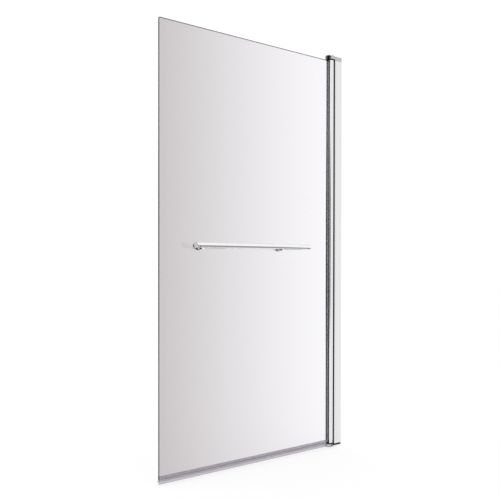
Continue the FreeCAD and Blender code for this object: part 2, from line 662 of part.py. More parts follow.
def rail_end_cap(end_x, inward, grub_x):
    """A domed cap with a plug in the tube. End_x is its outer face, inward points along the rail."""
    face = vec(end_x, RAIL_Y, RAIL_Z)
    flange = rounded(
        rod(RAIL_RADIUS, END_CAP_THICKNESS, face, inward),
        END_CAP_ROUND,
        lambda centre, edge: near(centre.x, end_x),
    )
    plug_foot = face + inward * END_CAP_THICKNESS
    plug = rod(RAIL_RADIUS - RAIL_WALL - END_PLUG_FIT, END_PLUG_LENGTH, plug_foot, inward)
    body = flange.fuse(plug).removeSplitter()
    outward = grub_places()[0][1]
    tip = RAIL_RADIUS - GRUB_RECESS - GRUB_LENGTH - GRUB_TIP_GAP
    hole_foot = vec(grub_x, RAIL_Y, RAIL_Z) + outward * tip
    return body.cut(rod(GRUB_RADIUS + SCREW_FIT, RAIL_RADIUS, hole_foot, outward))


def rail_grub_screws():
    screws = []
    for x, outward in grub_places():
        top = vec(x, RAIL_Y, RAIL_Z) + outward * (RAIL_RADIUS - GRUB_RECESS)
        body = rod(GRUB_RADIUS, GRUB_LENGTH, top, outward * -1)
        screws.append(body.cut(hexagon(GRUB_SOCKET_FLATS, GRUB_SOCKET_DEPTH, top, outward * -1)))
    return screws


def from_glass(x, distance, bath=False):
    """A point on a mount's axis, that far from the glass on the dry side, or on the bath side."""
    reach = GLASS_FACE + distance
    return vec(x, reach if bath else -reach, MOUNT_Z)


def glass_hole_radius():
    return STUD_RADIUS + STUD_CLEARANCE + HOLE_BUSH_WALL + HOLE_PRESS_FIT


def rail_washer(x, bath):
    bore = STUD_RADIUS + STUD_CLEARANCE
    direction = BATHWARD if bath else DRYWARD
    return tube(WASHER_RADIUS, bore, WASHER_THICKNESS, from_glass(x, 0, bath), direction)


def rail_hole_bush(x):
    bore = STUD_RADIUS + STUD_CLEARANCE
    return tube(bore + HOLE_BUSH_WALL, bore, GLASS_THICKNESS, from_glass(x, 0), BATHWARD)


def rail_rosette(x):
    """The round cover plate between the glass and the stand-off post."""
    foot = from_glass(x, WASHER_THICKNESS)
    front_y = foot.y - ROSETTE_THICKNESS
    disc = rounded(
        rod(ROSETTE_RADIUS, ROSETTE_THICKNESS, foot, DRYWARD),
        ROSETTE_ROUND,
        lambda centre, edge: near(centre.y, front_y),
    )
    return disc.cut(rod(STUD_RADIUS + STUD_CLEARANCE, ROSETTE_THICKNESS, foot, DRYWARD))


def rail_post(x):
    """The stand-off post: a waist, and a collar cut out to cradle the tube."""
    start = WASHER_THICKNESS + ROSETTE_THICKNESS
    length = RAIL_STANDOFF - start
    collar = length - MOUNT_COLLAR_LENGTH
    outline = [
        (0, 0),
        (MOUNT_WAIST_RADIUS, 0),
        (MOUNT_WAIST_RADIUS, collar - MOUNT_CONE_LENGTH),
        (COLLAR_RADIUS, collar),
        (COLLAR_RADIUS, length),
        (0, length),
    ]
    body = turned(outline, from_glass(x, start), DRYWARD)
    span = 2 * COLLAR_RADIUS
    body = body.cut(rod(RAIL_RADIUS, 2 * span, vec(x - span, RAIL_Y, RAIL_Z), ALONG))
    above_tube = box(
        (x - span, x + span),
        (RAIL_Y - RAIL_RADIUS, RAIL_Y + RAIL_RADIUS),
        (RAIL_Z, RAIL_Z + span),
    )
    body = body.cut(above_tube)
    stud_hole = STUD_IN_POST + STUD_END_GAP
    body = body.cut(rod(STUD_RADIUS + STUD_FIT, stud_hole, from_glass(x, start), DRYWARD))
    screw_foot = saddle_screw_foot(x)
    body = body.cut(rod(SCREW_RADIUS + SCREW_FIT, SADDLE_SCREW_LENGTH, screw_foot, UP))
    sink = countersink(screw_foot, SADDLE_HEAD_RADIUS, SADDLE_HEAD_HEIGHT, SCREW_FIT)
    mouth = rod(SADDLE_HEAD_RADIUS + SCREW_FIT, COLLAR_RADIUS, screw_foot, DOWN)
    return body.cut(sink).cut(mouth)


def saddle_screw_foot(x):
    """The flat of a saddle screw's head, sunk into the underside of the collar."""
    y = RAIL_Y + SADDLE_SCREW_FROM_AXIS
    return vec(x, y, MOUNT_Z - COLLAR_RADIUS + SADDLE_HEAD_SINK)


def rail_saddle_screw(x):
    foot = saddle_screw_foot(x)
    return countersunk_screw(foot, SADDLE_HEAD_RADIUS, SADDLE_HEAD_HEIGHT, SADDLE_SCREW_LENGTH)


def rail_stud(x):
    """The threaded stud from the post through rosette, washers and glass into the cap nut."""
    dry_end = WASHER_THICKNESS + ROSETTE_THICKNESS + STUD_IN_POST
    length = dry_end + GLASS_THICKNESS + WASHER_THICKNESS + STUD_IN_NUT
    return rod(STUD_RADIUS, length, from_glass(x, dry_end), BATHWARD)


def rail_cap_nut(x):
    foot = from_glass(x, WASHER_THICKNESS, bath=True)
    nut = rounded(
        rod(NUT_RADIUS, NUT_THICKNESS, foot, BATHWARD),
        NUT_ROUND,
        lambda centre, edge: near(centre.y, foot.y + NUT_THICKNESS),
    )
    return nut.cut(rod(STUD_RADIUS + STUD_FIT, STUD_IN_NUT + STUD_END_GAP, foot, BATHWARD))


# ---------------------------------------------------------------- every piece
def at_mounts(make):
    return [make(x) for x in MOUNT_XS]


PIECES = {
    "wall_channel": wall_channel(),
    "hinge_jamb": hinge_jamb(),
    "hinge_seal_strips": hinge_seal_strips(),
    "clamp_screws": clamp_screws(),
    "clamp_screw_covers": clamp_screw_covers(),
    "top_cap": top_cap(),
    "top_pivot_bracket": top_pivot_bracket(),
    "top_pivot_pin": top_pivot_pin(),
    "top_bracket_screws": top_bracket_screws(),
    "bottom_cap": bottom_cap(),
    "bottom_pivot_pin": bottom_pivot_pin(),
    "bottom_cap_screws": bottom_cap_screws(),
    "pivot_post": pivot_post(),
    "top_bush": pivot_bush((GLASS_Z[1] - BUSH_LENGTH, GLASS_Z[1])),
    "bottom_bush": pivot_bush((GLASS_Z[0], GLASS_Z[0] + BUSH_LENGTH)),
    "top_thrust_washer": thrust_washer((GLASS_Z[1], GLASS_Z[1] + THRUST_WASHER_THICKNESS)),
    "bottom_thrust_washer": thrust_washer((GLASS_Z[0] - THRUST_WASHER_THICKNESS, GLASS_Z[0])),
    "glass_panel": glass_panel(),
    "nose_strips": nose_strips(),
    "glass_bond": glass_bond(),
    "bottom_seal": bottom_seal(),
    "rail_tube": rail_tube(),
    "rail_end_cap_free": rail_end_cap(RAIL_START_X, ALONG, grub_places()[0][0]),
    "rail_end_cap_wall": rail_end_cap(RAIL_END_X, ALONG * -1, grub_places()[1][0]),
    "rail_grub_screws": rail_grub_screws(),
    "rail_posts": at_mounts(rail_post),
    "rail_saddle_screws": at_mounts(rail_saddle_screw),
    "rail_rosettes": at_mounts(rail_rosette),
    "rail_washers_dry": at_mounts(lambda x: rail_washer(x, bath=False)),
    "rail_hole_bushes": at_mounts(rail_hole_bush),
    "rail_washers_bath": at_mounts(lambda x: rail_washer(x, bath=True)),
    "rail_studs": at_mounts(rail_stud),
    "rail_cap_nuts": at_mounts(rail_cap_nut),
}


os.makedirs("parts", exist_ok=True)
for name, shape in PIECES.items():
    if isinstance(shape, list):
        shape = Part.makeCompound(shape)
    shape.exportStep(f"parts/{name}.step")
    print(name, "solids", len(shape.Solids), "valid", shape.isValid(), "volume", round(shape.Volume, 1))
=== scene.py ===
import math

import bmesh
import bpy
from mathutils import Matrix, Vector


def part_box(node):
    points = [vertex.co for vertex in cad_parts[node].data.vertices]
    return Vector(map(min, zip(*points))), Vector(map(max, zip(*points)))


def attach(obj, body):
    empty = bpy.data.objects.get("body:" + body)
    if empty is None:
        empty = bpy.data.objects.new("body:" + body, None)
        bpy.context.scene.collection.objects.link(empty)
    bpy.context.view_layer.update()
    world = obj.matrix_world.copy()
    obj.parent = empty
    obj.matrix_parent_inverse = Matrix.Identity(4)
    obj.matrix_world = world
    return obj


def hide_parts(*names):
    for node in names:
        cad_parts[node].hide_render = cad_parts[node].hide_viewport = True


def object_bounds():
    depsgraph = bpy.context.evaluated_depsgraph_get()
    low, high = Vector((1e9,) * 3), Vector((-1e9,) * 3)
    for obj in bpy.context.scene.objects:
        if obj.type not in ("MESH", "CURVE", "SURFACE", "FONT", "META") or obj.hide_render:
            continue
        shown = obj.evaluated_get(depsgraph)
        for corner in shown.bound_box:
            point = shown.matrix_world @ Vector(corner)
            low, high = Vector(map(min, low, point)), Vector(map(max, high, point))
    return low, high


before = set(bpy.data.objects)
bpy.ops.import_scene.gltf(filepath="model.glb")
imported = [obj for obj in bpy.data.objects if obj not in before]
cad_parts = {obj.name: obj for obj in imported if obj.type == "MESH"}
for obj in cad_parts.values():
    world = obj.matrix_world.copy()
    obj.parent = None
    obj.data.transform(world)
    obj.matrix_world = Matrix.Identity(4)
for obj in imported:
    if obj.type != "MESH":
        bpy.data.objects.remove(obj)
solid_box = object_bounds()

# A hinged glass bath screen with a towel rail, dressed for a studio picture. All lengths are in
# metres. X runs towards the wall, -Y is the dry side with the rail, +Y the bath, Z is up.

MM = 0.001
WELD = 0.001 * MM               # corners nearer than this are one
SHARP = 60.0                    # degrees past which an edge is softened

# ---------------------------------------------------------------- sizes of the dressed pieces
PIVOT_X = -47.4 * MM
POST_RADIUS = 15.0 * MM
NOSE_X = -57.4 * MM             # flat face of the post, where the glass goes in
SLOT_HALF = 4.4 * MM
SLOT_FLOOR_X = -52.17 * MM
GLASS_HALF = 3.0 * MM
PANE_Z = (-697.6 * MM, 702.4 * MM)
SEAL_LEG = 1.2 * MM             # thickness of the seal's legs on the glass
SEAL_FLOOR = 1.5 * MM
SEAL_LIP = 1.6 * MM
SEAL_FIN_REACH = 6.0 * MM
SEAL_FIN_DROP = 8.0 * MM
SEAL_FIN = 1.1 * MM
SEAL_ROUND = 0.45 * MM
ARRIS = 0.5 * MM                # ground bevel along the rims of the pane
SHADED_RIM_BAND = 1.2 * MM             # how far in from the rims the pane's faces take the rims' darker material, as painted shade
SHADED_FOOT_BAND = 2.4 * MM            # the same along the foot, inside the seal
PAINTED_LEVEL_RIM = (3.6 * MM, 3.2 * MM)    # how far in the level rims are painted near-black as shade, and fade
PANE_PLAY = 0.02 * MM           # between each face of the pane and what lies on it
METAL_EDGE = 0.3 * MM           # softened edge of the extrusions
STRIP_WIDTH = 4.0 * MM          # strips on the post's nose
STRIP_STEM = 1.8 * MM
STRIP_CORNER = (0.6 * MM, 1.0 * MM)     # cut off the strips' fronts, back and across
STRIP_ROUND = 0.5 * MM
CLAMP_COUNT = 3
CLAMP_SPACING = 500.0 * MM
COVER_WALL = 1.2 * MM
COVER_CROWN = (                 # in from the cover's rim, down from its front
    (0.0, 0.9 * MM),
    (0.25 * MM, 0.45 * MM),
    (0.9 * MM, 0.15 * MM),
    (2.4 * MM, 0.02 * MM),
)
MOUNT_Z = 14.4 * MM             # axes of the rail mounts
MOUNT_XS = (-656.0 * MM, -312.0 * MM)

# ---------------------------------------------------------------- light and colours
WORLD_LIGHT = 0.8               # what the white world gives to surfaces
SEEN_LIGHT = 1.02               # the white of world and floor where they are seen
FLOOR_TONE = 0.45
FLOOR_HALF = 30.0
FREE_EDGE_PAINTED_SHADE = (0.57, 0.54, 0.55)     # the pane at its free edge, greyed as painted shade
HINGE_TONE = (0.93, 0.915, 0.945)       # the pane at the hinge
TONE_CURVE = 1.35               # how fast the first passes into the second
SCREEN_DISTANCE = 3.2           # dark screens of the studio, from the hinge
SCREEN_GREY = 0.02
SCREEN_FOOT = -0.55
TALL, LOW = 3.4, 0.75           # heads of the tall and the low screens
SOFT_SIDE, SOFT_FOOT, SOFT_HEAD = 6.0, 0.4, 0.6     # where they fade: degrees, metres, metres


# ---------------------------------------------------------------- camera
CAMERA_Z = -0.0420


def set_camera():
    data = bpy.data.cameras.new("camera")
    data.sensor_width = 36.0
    data.lens = 54.245
    data.shift_y = 0.0464
    data.clip_start = 0.05
    data.clip_end = 60.0
    camera = bpy.data.objects.new("camera", data)
    camera.location = (-2.0868, -1.8980, CAMERA_Z)
    camera.rotation_euler = (math.radians(89.306), math.radians(-0.082), math.radians(-41.048))
    bpy.context.scene.collection.objects.link(camera)
    bpy.context.scene.camera = camera


# ---------------------------------------------------------------- shader node groups
def new_group(name, inputs, outputs):
    """An empty shader group. Inputs are (name, kind, value) and outputs are (name, kind)."""
    group = bpy.data.node_groups.new(name, "ShaderNodeTree")
    for label, kind, value in inputs:
        socket = group.interface.new_socket(label, in_out="INPUT", socket_type=kind)
        if value is not None:
            socket.default_value = value
    for label, kind in outputs:
        group.interface.new_socket(label, in_out="OUTPUT", socket_type=kind)
    entry = group.nodes.new("NodeGroupInput")
    leave = group.nodes.new("NodeGroupOutput")
    return group, entry, leave


def math_node(tree, operation, first, second=None, clamp=False):
    node = tree.nodes.new("ShaderNodeMath")
    node.operation = operation
    node.use_clamp = clamp
    for place, value in enumerate((first, second)):
        if value is None:
            continue
        if isinstance(value, (int, float)):
            node.inputs[place].default_value = value
        else:
            tree.links.new(value, node.inputs[place])
    return node.outputs[0]


def map_range(tree, value, low, high, to_low, to_high):
    node = tree.nodes.new("ShaderNodeMapRange")
    tree.links.new(value, node.inputs["Value"])
    for label, amount in zip(("From Min", "From Max", "To Min", "To Max"), (low, high, to_low, to_high)):
        if isinstance(amount, (int, float)):
            node.inputs[label].default_value = amount
        else:
            tree.links.new(amount, node.inputs[label])
    return node.outputs["Result"]


def drawn_lines_group():
    """Fine lines that a die leaves along an extrusion. The lines run along Z of the vector."""
    group, entry, leave = new_group(
        "drawn_lines",
        [
            ("Vector", "NodeSocketVector", None),
            ("Line Width", "NodeSocketFloat", 0.8 * MM),
            ("Depth", "NodeSocketFloat", 1.0),
        ],
        [("Height", "NodeSocketFloat"), ("Tone", "NodeSocketFloat")],
    )
    per_metre = math_node(group, "DIVIDE", 1.0, entry.outputs["Line Width"])
    along = math_node(group, "MULTIPLY", per_metre, 0.0015)
    scale = group.nodes.new("ShaderNodeCombineXYZ")
    group.links.new(per_metre, scale.inputs["X"])
    group.links.new(per_metre, scale.inputs["Y"])
    group.links.new(along, scale.inputs["Z"])
    stretch = group.nodes.new("ShaderNodeVectorMath")
    stretch.operation = "MULTIPLY"
    group.links.new(entry.outputs["Vector"], stretch.inputs[0])
    group.links.new(scale.outputs["Vector"], stretch.inputs[1])
    noise = group.nodes.new("ShaderNodeTexNoise")
    noise.inputs["Scale"].default_value = 1.0
    noise.inputs["Detail"].default_value = 3.0
    noise.inputs["Roughness"].default_value = 0.6
    group.links.new(stretch.outputs["Vector"], noise.inputs["Vector"])
    height = math_node(group, "MULTIPLY", noise.outputs["Fac"], entry.outputs["Depth"])
    group.links.new(height, leave.inputs["Height"])
    tone = map_range(group, noise.outputs["Fac"], 0.3, 0.7, 0.0, 1.0)
    group.links.new(tone, leave.inputs["Tone"])
    return group


def fine_grain_group():
    """The very small grain of a moulded or plated surface."""
    group, entry, leave = new_group(
        "fine_grain",
        [
            ("Vector", "NodeSocketVector", None),
            ("Grain Size", "NodeSocketFloat", 0.4 * MM),
            ("Depth", "NodeSocketFloat", 1.0),
        ],
        [("Height", "NodeSocketFloat"), ("Mask", "NodeSocketFloat")],
    )
    noise = group.nodes.new("ShaderNodeTexNoise")
    noise.inputs["Detail"].default_value = 2.0
    group.links.new(entry.outputs["Vector"], noise.inputs["Vector"])
    group.links.new(math_node(group, "DIVIDE", 1.0, entry.outputs["Grain Size"]), noise.inputs["Scale"])
    height = math_node(group, "MULTIPLY", noise.outputs["Fac"], entry.outputs["Depth"])
    group.links.new(height, leave.inputs["Height"])
    group.links.new(noise.outputs["Fac"], leave.inputs["Mask"])
    return group


def handling_marks_group():
    """Faint patches where the surface has been wiped, as a roughness between clean and marked."""
    group, entry, leave = new_group(
        "handling_marks",
        [
            ("Vector", "NodeSocketVector", None),
            ("Patch Size", "NodeSocketFloat", 40.0 * MM),
            ("Clean Roughness", "NodeSocketFloat", 0.05),
            ("Marked Roughness", "NodeSocketFloat", 0.12),
        ],
        [("Roughness", "NodeSocketFloat"), ("Mask", "NodeSocketFloat")],
    )
    noise = group.nodes.new("ShaderNodeTexNoise")
    noise.inputs["Detail"].default_value = 4.0
    noise.inputs["Roughness"].default_value = 0.55
    group.links.new(entry.outputs["Vector"], noise.inputs["Vector"])
    group.links.new(math_node(group, "DIVIDE", 1.0, entry.outputs["Patch Size"]), noise.inputs["Scale"])
    mask = map_range(group, noise.outputs["Fac"], 0.45, 0.75, 0.0, 1.0)
    rough = map_range(
        group, mask, 0.0, 1.0, entry.outputs["Clean Roughness"], entry.outputs["Marked Roughness"]
    )
    group.links.new(rough, leave.inputs["Roughness"])
    group.links.new(mask, leave.inputs["Mask"])
    return group


def edge_wear_group():
    """Where edges stand out and are rubbed: 0 on flats, 1 on sharp edges."""
    group, entry, leave = new_group(
        "edge_wear",
        [("Amount", "NodeSocketFloat", 0.5)],
        [("Mask", "NodeSocketFloat")],
    )
    geometry = group.nodes.new("ShaderNodeNewGeometry")
    edge = map_range(group, geometry.outputs["Pointiness"], 0.53, 0.62, 0.0, 1.0)
    mask = math_node(group, "MULTIPLY", edge, entry.outputs["Amount"], clamp=True)
    group.links.new(mask, leave.inputs["Mask"])
    return group


DRAWN_LINES = drawn_lines_group()
FINE_GRAIN = fine_grain_group()
HANDLING_MARKS = handling_marks_group()
EDGE_WEAR = edge_wear_group()


# ---------------------------------------------------------------- materials
class Finish:
    """A material with its Principled node and the object coordinates at hand."""

    def __init__(self, name, color, roughness, metallic=0.0):
        self.material = bpy.data.materials.new(name)
        self.material.use_nodes = True
        self.tree = self.material.node_tree
        self.shader = self.tree.nodes["Principled BSDF"]
        self.output = self.tree.nodes["Material Output"]
        self.shader.inputs["Base Color"].default_value = (*color, 1.0)
        self.shader.inputs["Roughness"].default_value = roughness
        self.shader.inputs["Metallic"].default_value = metallic
        self.coordinates = self.tree.nodes.new("ShaderNodeTexCoord").outputs["Object"]

    def group(self, group, **values):
        node = self.tree.nodes.new("ShaderNodeGroup")
        node.node_tree = group
        if "Vector" in node.inputs:
            self.tree.links.new(self.coordinates, node.inputs["Vector"])
        for label, value in values.items():
            node.inputs[label.replace("_", " ")].default_value = value
        return node

    def bump(self, height, distance, strength=1.0):
        node = self.tree.nodes.new("ShaderNodeBump")
        node.inputs["Distance"].default_value = distance
        node.inputs["Strength"].default_value = strength
        self.tree.links.new(height, node.inputs["Height"])
        self.tree.links.new(node.outputs["Normal"], self.shader.inputs["Normal"])

    def mix(self, mask, first, second):
        """A colour between two colours or colour outputs."""
        node = self.tree.nodes.new("ShaderNodeMix")
        node.data_type = "RGBA"
        self.tree.links.new(mask, node.inputs["Factor"])
        for label, value in (("A", first), ("B", second)):
            socket = [s for s in node.inputs if s.name == label and s.type == "RGBA"][0]
            if isinstance(value, tuple):
                socket.default_value = (*value, 1.0)
            else:
                self.tree.links.new(value, socket)
        return [s for s in node.outputs if s.type == "RGBA"][0]

    def link(self, output, label):
        self.tree.links.new(output, self.shader.inputs[label])

    def along(self, axis):
        """One coordinate of the object, in metres."""
        split = self.tree.nodes.new("ShaderNodeSeparateXYZ")
        self.tree.links.new(self.coordinates, split.inputs[0])
        return split.outputs[axis]


def extruded_aluminium(name, color, worn, line_width):
    """Bright polished aluminium with the die's lines along its length."""
    finish = Finish(name, color, 0.1, metallic=1.0)
    lines = finish.group(DRAWN_LINES, Line_Width=line_width, Depth=1.0)
    marks = finish.group(HANDLING_MARKS, Patch_Size=55.0 * MM, Clean_Roughness=0.04, Marked_Roughness=0.10)
    wear = finish.group(EDGE_WEAR, Amount=0.6)
    darker = tuple(value * 0.93 for value in color)
    toned = finish.mix(lines.outputs["Tone"], color, darker)
    finish.link(finish.mix(wear.outputs["Mask"], toned, worn), "Base Color")
    finish.link(marks.outputs["Roughness"], "Roughness")
    finish.bump(lines.outputs["Height"], 0.012 * MM, 0.2)
    return finish.material


def plated_chrome(name, level):
    """Chrome plate of that lightness, with wiped patches and a trace of orange peel."""
    clean, marked = (level, level, level + 0.01), (level - 0.05, level - 0.05, level - 0.04)
    finish = Finish(name, clean, 0.04, metallic=1.0)
    grain = finish.group(FINE_GRAIN, Grain_Size=2.2 * MM, Depth=1.0)
    marks = finish.group(HANDLING_MARKS, Patch_Size=24.0 * MM, Clean_Roughness=0.03, Marked_Roughness=0.09)
    wear = finish.group(EDGE_WEAR, Amount=0.5)
    toned = finish.mix(marks.outputs["Mask"], clean, marked)
    worn = (min(1.0, level + 0.08),) * 3
    finish.link(finish.mix(wear.outputs["Mask"], toned, worn), "Base Color")
    finish.link(marks.outputs["Roughness"], "Roughness")
    finish.bump(grain.outputs["Height"], 0.01 * MM, 0.3)
    return finish.material


def turned_steel():
    finish = Finish("turned_stainless_steel", (0.62, 0.62, 0.63), 0.25, metallic=1.0)
    grain = finish.group(FINE_GRAIN, Grain_Size=0.5 * MM, Depth=1.0)
    marks = finish.group(HANDLING_MARKS, Patch_Size=6.0 * MM, Clean_Roughness=0.2, Marked_Roughness=0.38)
    wear = finish.group(EDGE_WEAR, Amount=0.7)
    toned = finish.mix(grain.outputs["Mask"], (0.66, 0.66, 0.67), (0.56, 0.56, 0.57))
    finish.link(finish.mix(wear.outputs["Mask"], toned, (0.75, 0.75, 0.75)), "Base Color")
    finish.link(marks.outputs["Roughness"], "Roughness")
    finish.bump(grain.outputs["Height"], 0.02 * MM, 0.5)
    return finish.material


def moulded(name, color, marked, roughness, grain_size, shine=0.5):
    """A moulded plastic or rubber piece."""
    finish = Finish(name, color, roughness)
    finish.shader.inputs["Specular IOR Level"].default_value = shine
    grain = finish.group(FINE_GRAIN, Grain_Size=grain_size, Depth=1.0)
    marks = finish.group(
        HANDLING_MARKS, Patch_Size=12.0 * MM, Clean_Roughness=roughness, Marked_Roughness=roughness + 0.15
    )
    wear = finish.group(EDGE_WEAR, Amount=0.4)
    toned = finish.mix(grain.outputs["Mask"], color, marked)
    lighter = tuple(min(1.0, value * 1.15 + 0.02) for value in color)
    finish.link(finish.mix(wear.outputs["Mask"], toned, lighter), "Base Color")
    finish.link(marks.outputs["Roughness"], "Roughness")
    finish.bump(grain.outputs["Height"], 0.03 * MM, 0.6)
    return finish.material


def let_lamps_through(finish, tint):
    """Lamp and bounced rays pass through the clear piece with a little tint."""
    clear = finish.tree.nodes.new("ShaderNodeBsdfTransparent")
    clear.inputs["Color"].default_value = (*tint, 1.0)
    path = finish.tree.nodes.new("ShaderNodeLightPath")
    passing = math_node(
        finish.tree, "MAXIMUM", path.outputs["Is Shadow Ray"], path.outputs["Is Diffuse Ray"]
    )
    mix = finish.tree.nodes.new("ShaderNodeMixShader")
    finish.tree.links.new(passing, mix.inputs["Fac"])
    finish.tree.links.new(finish.shader.outputs["BSDF"], mix.inputs[1])
    finish.tree.links.new(clear.outputs["BSDF"], mix.inputs[2])
    finish.tree.links.new(mix.outputs["Shader"], finish.output.inputs["Surface"])


def clear_glass():
    """The pane's faces, with painted shade: greyer towards the free edge, nearly clear towards the hinge.
    """
    finish = Finish("clear_glass", (0.85, 0.84, 0.86), 0.0)
    finish.shader.inputs["Transmission Weight"].default_value = 1.0
    finish.shader.inputs["IOR"].default_value = 1.5
    # painted shade: the tint deepens from the hinge towards the free edge
    from_hinge = map_range(finish.tree, finish.along("X"), solid_box[0].x, PIVOT_X, 1.0, 0.0)
    painted_shade_ramp = math_node(finish.tree, "POWER", from_hinge, TONE_CURVE)
    finish.link(finish.mix(painted_shade_ramp, HINGE_TONE, FREE_EDGE_PAINTED_SHADE), "Base Color")
    roller_wave = finish.group(FINE_GRAIN, Grain_Size=180.0 * MM, Depth=1.0)
    finish.bump(roller_wave.outputs["Height"], 0.03 * MM, 0.5)
    let_lamps_through(finish, (0.86, 0.85, 0.87))
    return finish.material


def glass_edge_with_painted_shade():
    """The pane's rims and a band of its faces next to them, darker than the faces: the rims' own grey tint
    plus painted shade, near-black along the level rims.
    """
    finish = Finish("glass_edge_with_painted_shade", (0.42, 0.42, 0.41), 0.05)
    finish.shader.inputs["Transmission Weight"].default_value = 1.0
    finish.shader.inputs["IOR"].default_value = 1.5
    grain = finish.group(FINE_GRAIN, Grain_Size=0.6 * MM, Depth=1.0)
    marks = finish.group(HANDLING_MARKS, Patch_Size=15.0 * MM, Clean_Roughness=0.05, Marked_Roughness=0.18)
    toned = finish.mix(grain.outputs["Mask"], (0.34, 0.34, 0.33), (0.26, 0.27, 0.26))
    from_middle = math_node(finish.tree, "SUBTRACT", finish.along("Z"), (PANE_Z[0] + PANE_Z[1]) / 2)
    height = math_node(finish.tree, "ABSOLUTE", from_middle)
    half = (PANE_Z[1] - PANE_Z[0]) / 2
    # painted shade: the top and bottom rims go near-black
    painted_dark_rim = map_range(finish.tree, height, half - PAINTED_LEVEL_RIM[0], half - PAINTED_LEVEL_RIM[1], 0.0, 1.0)
    finish.link(finish.mix(painted_dark_rim, toned, (0.04, 0.04, 0.04)), "Base Color")
    finish.link(marks.outputs["Roughness"], "Roughness")
    finish.bump(grain.outputs["Height"], 0.02 * MM, 0.5)
    let_lamps_through(finish, (0.7, 0.7, 0.7))
    return finish.material


def clear_pvc(name, color, cloud, roughness):
    """Flexible clear plastic, slightly cloudy, with the die's lines along its length."""
    finish = Finish(name, color, roughness)
    finish.shader.inputs["Transmission Weight"].default_value = 0.75
    finish.shader.inputs["IOR"].default_value = 1.5
    turn = finish.tree.nodes.new("ShaderNodeMapping")
    turn.inputs["Rotation"].default_value = (0.0, math.radians(-90.0), 0.0)
    finish.tree.links.new(finish.coordinates, turn.inputs["Vector"])
    lines = finish.group(DRAWN_LINES, Line_Width=1.1 * MM, Depth=1.0)
    finish.tree.links.new(turn.outputs["Vector"], lines.inputs["Vector"])
    marks = finish.group(
        HANDLING_MARKS, Patch_Size=30.0 * MM, Clean_Roughness=roughness, Marked_Roughness=roughness + 0.12
    )
    finish.link(finish.mix(lines.outputs["Tone"], color, cloud), "Base Color")
    finish.link(marks.outputs["Roughness"], "Roughness")
    finish.bump(lines.outputs["Height"], 0.05 * MM, 0.5)
    let_lamps_through(finish, (0.75, 0.74, 0.76))
    return finish.material


POST_ALUMINIUM = extruded_aluminium("post_aluminium", (0.78, 0.77, 0.79), (0.88, 0.88, 0.88), 0.7 * MM)
JAMB_ALUMINIUM = extruded_aluminium("jamb_aluminium", (0.86, 0.86, 0.86), (0.93, 0.93, 0.93), 0.7 * MM)
CHANNEL_ALUMINIUM = extruded_aluminium(
    "channel_aluminium", (0.78, 0.76, 0.79), (0.88, 0.88, 0.88), 0.9 * MM
)
CHROME = plated_chrome("polished_chrome", 0.86)
# painted shade: the caps get a darker copy of the chrome
SHADED_CAP_CHROME = plated_chrome("shaded_cap_chrome", 0.48)
STEEL = turned_steel()
NYLON = moulded("natural_nylon", (0.88, 0.87, 0.84), (0.80, 0.79, 0.75), 0.35, 0.6 * MM)
BLACK_NYLON = moulded("black_nylon", (0.010, 0.010, 0.010), (0.016, 0.016, 0.016), 0.45, 0.6 * MM, 0.15)
SILICONE = moulded("clear_silicone", (0.80, 0.80, 0.79), (0.72, 0.72, 0.71), 0.4, 1.5 * MM)
RUBBER = moulded("gasket_rubber", (0.030, 0.029, 0.029), (0.045, 0.044, 0.044), 0.45, 0.5 * MM)
GLASS = clear_glass()
GLASS_EDGE = glass_edge_with_painted_shade()
NOSE_RUBBER = moulded(
    "nose_strip_rubber", (0.016, 0.016, 0.016), (0.025, 0.025, 0.025), 0.5, 0.5 * MM, 0.15
)
SEAL_PVC = clear_pvc("clear_pvc", (0.82, 0.79, 0.83), (0.70, 0.67, 0.71), 0.07)
# painted shade: the lip under the seal's floor gets a darker copy of the seal's PVC
SHADED_LIP_PVC = clear_pvc("shaded_lip_pvc", (0.72, 0.69, 0.74), (0.64, 0.61, 0.66), 0.10)
WASHER_PVC = clear_pvc("clear_washer_pvc", (0.80, 0.79, 0.81), (0.70, 0.69, 0.72), 0.15)


# ---------------------------------------------------------------- mesh helpers
def new_piece(name, mesh, body, replaced, materials):
    piece = bpy.data.objects.new(name, mesh)
    bpy.context.scene.collection.objects.link(piece)
    for material in materials:
        mesh.materials.append(material)
    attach(piece, body)
    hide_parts(*replaced)
    return piece


def smooth_by_angle(mesh, degrees):
    for polygon in mesh.polygons:
        polygon.use_smooth = True
    mesh.set_sharp_from_angle(angle=math.radians(degrees))


def flat_sides_kept(mesh):
    """The mesh with shading normals that follow its large faces, so that flat sides mirror flat."""
    source = bpy.data.objects.new("making", mesh)
    bpy.context.scene.collection.objects.link(source)
    modifier = source.modifiers.new("making", "WEIGHTED_NORMAL")
    modifier.weight = 100
    modifier.keep_sharp = True
    graph = bpy.context.evaluated_depsgraph_get()
    made = bpy.data.meshes.new_from_object(source.evaluated_get(graph), depsgraph=graph)
    source.modifiers.remove(modifier)
    bpy.data.objects.remove(source)
    return made


def mesh_from(name, build, angle=35.0):
    """A mesh filled in by build(bmesh), closed and with its faces outwards."""
    shape = bmesh.new()
    build(shape)
    bmesh.ops.remove_doubles(shape, verts=shape.verts, dist=WELD)
    bmesh.ops.recalc_face_normals(shape, faces=shape.faces)
    mesh = bpy.data.meshes.new(name)
    shape.to_mesh(mesh)
    shape.free()
    smooth_by_angle(mesh, angle)
    return flat_sides_kept(mesh)


def copy_of_node(shape, node):
    """The node's triangles, merged into whole faces."""
    shape.from_mesh(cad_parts[node].data)
    bmesh.ops.remove_doubles(shape, verts=shape.verts, dist=WELD)
    bmesh.ops.recalc_face_normals(shape, faces=shape.faces)
    bmesh.ops.dissolve_limit(
        shape,
        angle_limit=math.radians(0.5),
        verts=shape.verts,
        edges=shape.edges,
        use_dissolve_boundaries=False,
    )


